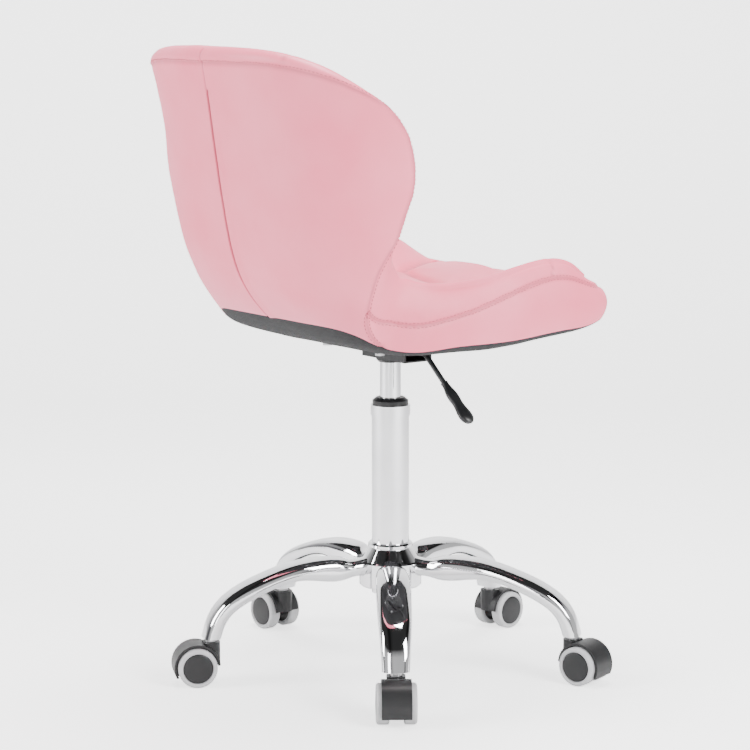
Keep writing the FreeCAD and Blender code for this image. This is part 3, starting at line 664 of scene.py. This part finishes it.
def finished_surface():
    """The closed surface subdivided once: its points, normals, painted crease shade, faces and their tags.
    """
    kinds = sorted(set(tags.tolist()))
    faces = [tuple(dict.fromkeys(int(k) for k in q)) for q in quads]
    keep = [i for i, f in enumerate(faces) if len(f) > 2]
    rough_shape = mesh_object("surface", shape, [faces[i] for i in keep], LEATHER)
    rough_shape.data.polygons.foreach_set("material_index", [kinds.index(tags[i]) for i in keep])
    for _ in kinds[1:]:
        rough_shape.data.materials.append(LEATHER)
    layer = rough_shape.data.attributes.new("crease_shade", "FLOAT", "POINT")
    layer.data.foreach_set("value", shade)
    rough_shape.modifiers.new("smooth", "SUBSURF").levels = 1
    ready = rough_shape.evaluated_get(bpy.context.evaluated_depsgraph_get())
    mesh = bpy.data.meshes.new_from_object(ready)
    count = len(mesh.vertices)
    place, direction = np.zeros(count * 3), np.zeros(count * 3)
    mesh.vertices.foreach_get("co", place)
    mesh.vertex_normals.foreach_get("vector", direction)
    crease_shade = np.zeros(count)
    mesh.attributes["crease_shade"].data.foreach_get("value", crease_shade)
    corners = np.zeros(len(mesh.loops), int)
    mesh.loops.foreach_get("vertex_index", corners)
    kind = np.zeros(len(mesh.polygons), int)
    mesh.polygons.foreach_get("material_index", kind)
    bpy.data.objects.remove(rough_shape)
    place, direction, corners = place.reshape(-1, 3), direction.reshape(-1, 3), corners.reshape(-1, 4)
    return place, direction, crease_shade, corners, np.array(kinds)[kind]


fine_points, fine_normals, fine_crease_shade, fine_faces, fine_tags = finished_surface()


def skin_piece(tag, finish, thick):
    """One panel of the skin, cut from the closed surface, as thick as its material."""
    chosen = fine_faces[fine_tags == tag]
    used, local = np.unique(chosen, return_inverse=True)
    local = local.reshape(chosen.shape)
    count = len(used)
    sides = np.sort(np.concatenate([local[:, [k, (k + 1) % 4]] for k in range(4)]), axis=1)
    directed = np.concatenate([local[:, [k, (k + 1) % 4]] for k in range(4)])
    _, index, times = np.unique(sides, axis=0, return_index=True, return_counts=True)
    rims = directed[index[times == 1]]
    walls = np.stack([rims[:, 1], rims[:, 0], rims[:, 0] + count, rims[:, 1] + count], axis=1)
    front, facing = fine_points[used], fine_normals[used]
    faces = np.concatenate([local, local[:, ::-1] + count, walls])
    obj = mesh_object(tag, np.concatenate([front, front - facing * thick]), faces, finish)
    # Each piece keeps the painted shade of its seams and grooves as an attribute.
    layer = obj.data.attributes.new("crease_shade", "FLOAT", "POINT")
    layer.data.foreach_set("value", np.concatenate([fine_crease_shade[used]] * 2))
    normals_in = np.concatenate([facing, -facing])
    obj.data.normals_split_custom_set_from_vertices([tuple(v) for v in normals_in])
    return obj


def cad(*nodes):
    """Those of the named nodes that the frame holds."""
    return [n for n in nodes if n in frame["nodes"]]


LEATHER_THICKNESS = 1.6 * MM
LINING_THICKNESS = 1.0 * MM
seat_cushion = skin_piece("seat_cushion", LEATHER, LEATHER_THICKNESS)
back_cushion = skin_piece("back_cushion", LEATHER, LEATHER_THICKNESS)
for piece, covered, fill in (
    (seat_cushion, ("seat_cover", "seat_foam"), 0.9),
    (back_cushion, ("back_cover", "back_foam"), 0.85),
):
    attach(piece, "seat")
    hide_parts(*cad(*covered))
for tag in ("rear_cover_left", "rear_cover_right", "side_band_left", "side_band_right"):
    panel = skin_piece(tag, LEATHER, LEATHER_THICKNESS)
    panel.name = tag + "_skin"
    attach(panel, "seat")
    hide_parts(*cad(tag))
cloth = skin_piece("dust_cloth", LINING, LINING_THICKNESS)
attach(cloth, "seat")
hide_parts(*cad("dust_cover"))

NODE_FINISHES = (
    (CHROME, ("hub", "column_tube", "column_collar", "arm_", "gas_cylinder", "piston_rod")),
    (BLACK_STEEL, ("seat_socket", "seat_plate", "lever_housing", "lever_rod", "caster_sockets")),
    (STEEL, ("tube_end_plate", "thrust_bearing", "rod_clip", "release_pin", "lever_pivot")),
    (STEEL, ("plate_bolts", "tee_nuts", "caster_stems")),
    (PLY, ("inner_shell",)),
)
for name, obj in frame["nodes"].items():
    finish = next((look for look, starts in NODE_FINISHES if name.startswith(starts)), BLACK_PLASTIC)
    if name.endswith("_axle"):
        finish = STEEL
    obj.data.materials.clear()
    obj.data.materials.append(finish)

# ---------------------------------------------------------------- wheels and stitches
TURNED_STEPS = 72


def turned(name, profile, centre, axis, finish, closed=False):
    """A piece turned about an axis; profile is a list of (radius, distance along the axis) in mm."""
    axis = Vector(axis).normalized()
    side = axis.orthogonal().normalized()
    third = axis.cross(side)
    vertices = []
    for k in range(TURNED_STEPS):
        angle = 2 * math.pi * k / TURNED_STEPS
        ray = side * math.cos(angle) + third * math.sin(angle)
        vertices += [Vector(centre) + ray * (r * MM) + axis * (h * MM) for r, h in profile]
    count = len(profile)
    faces = []
    for k in range(TURNED_STEPS):
        a, b = k * count, (k + 1) % TURNED_STEPS * count
        for j in range(count if closed else count - 1):
            n = (j + 1) % count
            faces.append((a + j, b + j, b + n, a + n))
    obj = mesh_object(name, vertices, faces, finish)
    bm = bmesh.new()
    bm.from_mesh(obj.data)
    bmesh.ops.remove_doubles(bm, verts=bm.verts, dist=1e-6)
    bmesh.ops.recalc_face_normals(bm, faces=bm.faces)
    bm.to_mesh(obj.data)
    bm.free()
    return obj


def arc(centre_r, centre_h, radius, start, end, count=7):
    """Part of a circle in a profile, its angles in degrees."""
    angles = np.radians(np.linspace(start, end, count))
    return [(centre_r + radius * math.cos(a), centre_h + radius * math.sin(a)) for a in angles]


# The wheel about its axle, as radius and distance out from the caster's middle, in millimetres.
TREAD_PROFILE = [(19.6, 9.4), (20.5, 9.1)] + arc(23.0, 12.1, 3.0, -80, 0) + arc(22.6, 22.4, 3.4, 0, 88, 9)
TREAD_PROFILE += [(21.2, 25.9), (20.3, 25.2), (19.6, 23.6)]
DISC_PROFILE = [(3.2, 9.6), (8.0, 9.6), (8.6, 11.5), (17.4, 11.5), (18.2, 9.4), (19.5, 9.4), (19.5, 24.2)]
DISC_PROFILE += arc(18.4, 24.3, 1.1, 0, 80, 5) + [(15, 25.9), (10, 26.2), (5, 26.4), (0.01, 26.45)]
joints = {j["name"]: j for j in frame["record"]["behaviour"]["joints"]}
for number in range(1, 6):
    for side in ("left", "right"):
        wheel = f"caster_{number}_wheel_{side}"
        pivot = joints[f"{wheel}_roll"]["pos_m"]
        low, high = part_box(wheel)
        middle_point = (Vector(low) + Vector(high)) / 2
        out = (middle_point - Vector(pivot)).normalized()
        disc = turned(f"{wheel}_disc", DISC_PROFILE, pivot, out, BLACK_PLASTIC)
        tread = turned(f"{wheel}_tread", TREAD_PROFILE, pivot, out, TREAD, closed=True)
        for piece in (disc, tread):
            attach(piece, wheel)
        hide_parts(wheel)

tree = BVHTree.FromPolygons([Vector(v) for v in shape], [tuple(int(k) for k in q) for q in quads])


STITCH_PITCH = 5.2 * MM
STITCH_LENGTH = 3.4 * MM
THICK_THREAD = 0.55 * MM
THREAD_RADIUS = 0.5 * MM
SEAM_TO_STITCH = 3.2 * MM
RIM_TO_STITCH = 3.5 * MM
# Each ring round a stitch: place along it, share of the radius, lift off the leather.
STITCH_RINGS = ((0.0, 0.25, -0.6), (0.15, 0.9, 0.2), (0.5, 1.0, 0.45), (0.85, 0.9, 0.2), (1.0, 0.25, -0.6))
STITCH_SIDES = 6


def stitches(name, ids, offset, radius):
    """A row of thread stitches beside a seam, lying on the leather."""
    line = shape[np.array(ids)]
    gaps = np.linalg.norm(np.diff(line, axis=0), axis=1)
    along = np.concatenate([[0], np.cumsum(gaps)])
    places = np.arange(0, along[-1] - STITCH_LENGTH, STITCH_PITCH)
    vertices, faces = [], []
    for place in places:
        reach = (place, place + STITCH_LENGTH)
        ends = [np.array([np.interp(p, along, line[:, k]) for k in range(3)]) for p in reach]
        way = Vector(ends[1] - ends[0])
        if way.length < 1e-5:
            continue
        way.normalize()
        spots = []
        for e in ends:
            _, normal, _, _ = tree.find_nearest(Vector(e))
            moved = Vector(e) + normal.cross(way).normalized() * offset
            spot, normal, _, _ = tree.find_nearest(moved)
            spots.append((spot, normal))
        (a, normal), (b, _) = spots
        sideways = normal.cross(way).normalized()
        base = len(vertices)
        for share, thick, lift in STITCH_RINGS:
            core = a.lerp(b, share) + normal * (lift * radius)
            for k in range(STITCH_SIDES):
                angle = 2 * math.pi * k / STITCH_SIDES
                ray = sideways * math.cos(angle) + normal * math.sin(angle)
                vertices.append(core + ray * radius * thick)
        for r in range(len(STITCH_RINGS) - 1):
            low, high = base + r * STITCH_SIDES, base + (r + 1) * STITCH_SIDES
            for k in range(STITCH_SIDES):
                n = (k + 1) % STITCH_SIDES
                faces.append((low + k, low + n, high + n, high + k))
    obj = mesh_object(name, vertices, faces, THREAD)
    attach(obj, "seat")
    return obj


top_edge = [int(k) for k in ids_outer[last_row, :]]
left_edge = [int(k) for k in ids_outer[TIP:, last_col]]
right_edge = [int(k) for k in ids_outer[TIP:, 0]]
around = right_edge + top_edge[1:-1] + left_edge[::-1]
stitches("rim_stitching", around, -RIM_TO_STITCH, THICK_THREAD)
for label, column in (("left", last_col), ("right", 0)):
    side_rows = [k for k in range(len(loop)) if loop_j[k] == column and 0 < loop_i[k] < TIP]
    side_rows.sort(key=lambda k: loop_i[k])
    ids = [int(ids_strip[k, SEAM]) for k in side_rows]
    for row, gap in (("upper", SEAM_TO_STITCH), ("lower", -SEAM_TO_STITCH)):
        stitches(f"side_stitching_{label}_{row}", ids, gap, THREAD_RADIUS)
    low_ids = [int(ids_outer[i, column]) for i in range(HEM + 2, TIP + 1)]
    for row, gap in (("inner", SEAM_TO_STITCH), ("outer", -SEAM_TO_STITCH)):
        stitches(f"corner_stitching_{label}_{row}", low_ids, gap, THREAD_RADIUS)
flap_ids = [int(k) for k in ids_outer[HEM:, middle] if shape[k][2] < FLAP_TOP]
stitches("flap_stitching", flap_ids, -STITCH_LINE, THICK_THREAD)

# ---------------------------------------------------------------- studio and camera
# Directions on the floor: away from the camera, and across its view.
ALONG_VIEW = (0.809, -0.588, 0)
ACROSS_VIEW = (0.588, 0.809, 0)
GLOW_ON_OBJECT, GLOW_SEEN = 0.22, 2.2


def studio_white():
    """Pale paint, lit a little from within so that it shows as an even ground."""
    m, t, s = material("studio_white")
    tone = ramp(t, object_noise(t, 1).outputs[0], (0.86, 0.86, 0.86), (0.88, 0.88, 0.88))
    t.links.new(tone.outputs[0], s.inputs["Base Color"])
    t.links.new(tone.outputs[0], s.inputs["Emission Color"])
    path = node(t, "ShaderNodeLightPath")
    glow = span(t, path.outputs["Is Camera Ray"], GLOW_ON_OBJECT, GLOW_SEEN)
    t.links.new(glow.outputs[0], s.inputs["Emission Strength"])
    s.inputs["Roughness"].default_value = 0.8
    return m


def studio():
    """A floor that bends up into a wall behind the object."""
    width, near_end, depth, rise, bend = 4.0, -4.0, 3.0, 3.0, 0.8
    back = Vector(ALONG_VIEW)
    side = Vector(ACROSS_VIEW)
    rows = [(near_end, 0.0)]
    turn = np.linspace(0, math.pi / 2, 16)
    rows += [(depth - bend + bend * math.sin(a), bend - bend * math.cos(a)) for a in turn]
    rows += [(depth, rise)]
    vertices = [back * d + side * w + Vector((0, 0, h)) for d, h in rows for w in (-width, width)]
    faces = [(2 * i, 2 * i + 1, 2 * i + 3, 2 * i + 2) for i in range(len(rows) - 1)]
    floor = mesh_object("studio_floor", vertices, faces, studio_white())


def lamp(name, place, aim, width, height, power):
    """A soft rectangular lamp that faces a point."""
    data = bpy.data.lights.new(name, "AREA")
    data.shape = "RECTANGLE"
    data.size, data.size_y, data.energy = width, height, power
    obj = bpy.data.objects.new(name, data)
    obj.location = place
    obj.rotation_euler = (Vector(aim) - Vector(place)).to_track_quat("-Z", "Y").to_euler()
    bpy.context.scene.collection.objects.link(obj)


studio()
# Name, place, point aimed at, width, height and power in watts.
lamp("key", (-2.9, -0.6, 1.9), (0, 0, 0.55), 1.4, 2.2, 180)
lamp("rear_fill", (1.3, 3.0, 1.7), (0, 0, 0.6), 1.4, 2.2, 150)
lamp("camera_fill", (-2.0, 2.8, 1.0), (0, 0, 0.5), 0.8, 1.8, 34)
lamp("top", (0.2, -0.2, 2.6), (0, 0, 0.6), 1.2, 1.2, 95)
# The sky: bright below and dark overhead, in bands across the view that show as streaks in the
# chrome. Each band is a place from one side to the other, and its brightness.
SKY_BANDS = ((0.10, 0.9), (0.17, 0.1), (0.25, 0.9), (0.52, 0.95), (0.60, 0.2), (0.67, 1.0), (0.90, 1.0))
SKY_STRENGTH = 0.75
world = bpy.data.worlds.new("studio_world")
bpy.context.scene.world = world
world.use_nodes = True
sky = world.node_tree
where = node(sky, "ShaderNodeTexCoord")
height = node(sky, "ShaderNodeSeparateXYZ")
tone = node(sky, "ShaderNodeValToRGB")
sky.links.new(where.outputs["Generated"], height.inputs[0])
sky.links.new(height.outputs["Z"], tone.inputs[0])
low_tone, high_tone = tone.color_ramp.elements
low_tone.position, low_tone.color = 0.0, (1, 1, 1, 1)
high_tone.position, high_tone.color = 0.62, (0.05, 0.05, 0.05, 1)
tone.color_ramp.elements.new(0.40).color = (0.9, 0.9, 0.9, 1)
sideways = node(sky, "ShaderNodeVectorMath", {1: ACROSS_VIEW}, operation="DOT_PRODUCT")
sky.links.new(where.outputs["Generated"], sideways.inputs[0])
place = node(sky, "ShaderNodeMapRange", {"From Min": -1, "From Max": 1})
sky.links.new(sideways.outputs["Value"], place.inputs[0])
shares = ramp(sky, place.outputs[0], (0.9, 0.9, 0.9), (0.12, 0.12, 0.13), 0.0, 1.0)
for spot, level in SKY_BANDS:
    shares.color_ramp.elements.new(spot).color = (level, level, level, 1)
both = node(sky, "ShaderNodeMix", data_type="RGBA", blend_type="MULTIPLY")
both.inputs["Factor"].default_value = 1.0
sky.links.new(tone.outputs[0], both.inputs["A"])
sky.links.new(shares.outputs[0], both.inputs["B"])
sky.links.new(both.outputs["Result"], sky.nodes["Background"].inputs[0])
sky.nodes["Background"].inputs[1].default_value = SKY_STRENGTH

camera_data = bpy.data.cameras.new("camera")
camera = bpy.data.objects.new("camera", camera_data)
bpy.context.scene.collection.objects.link(camera)
CAMERA_AZIMUTH, CAMERA_ELEVATION = math.radians(234), math.radians(8.74)
CAMERA_DISTANCE = 3.334
AIM = Vector((0, 0, 0.3993))
back = Vector(
    (
        math.sin(CAMERA_AZIMUTH) * math.cos(CAMERA_ELEVATION),
        -math.cos(CAMERA_AZIMUTH) * math.cos(CAMERA_ELEVATION),
        math.sin(CAMERA_ELEVATION),
    )
)
camera.location = AIM + back * CAMERA_DISTANCE
camera.rotation_euler = (-back).to_track_quat("-Z", "Y").to_euler()
camera_data.lens = 120
camera_data.sensor_width = 36
camera_data.shift_x = -0.0205
bpy.context.scene.camera = camera
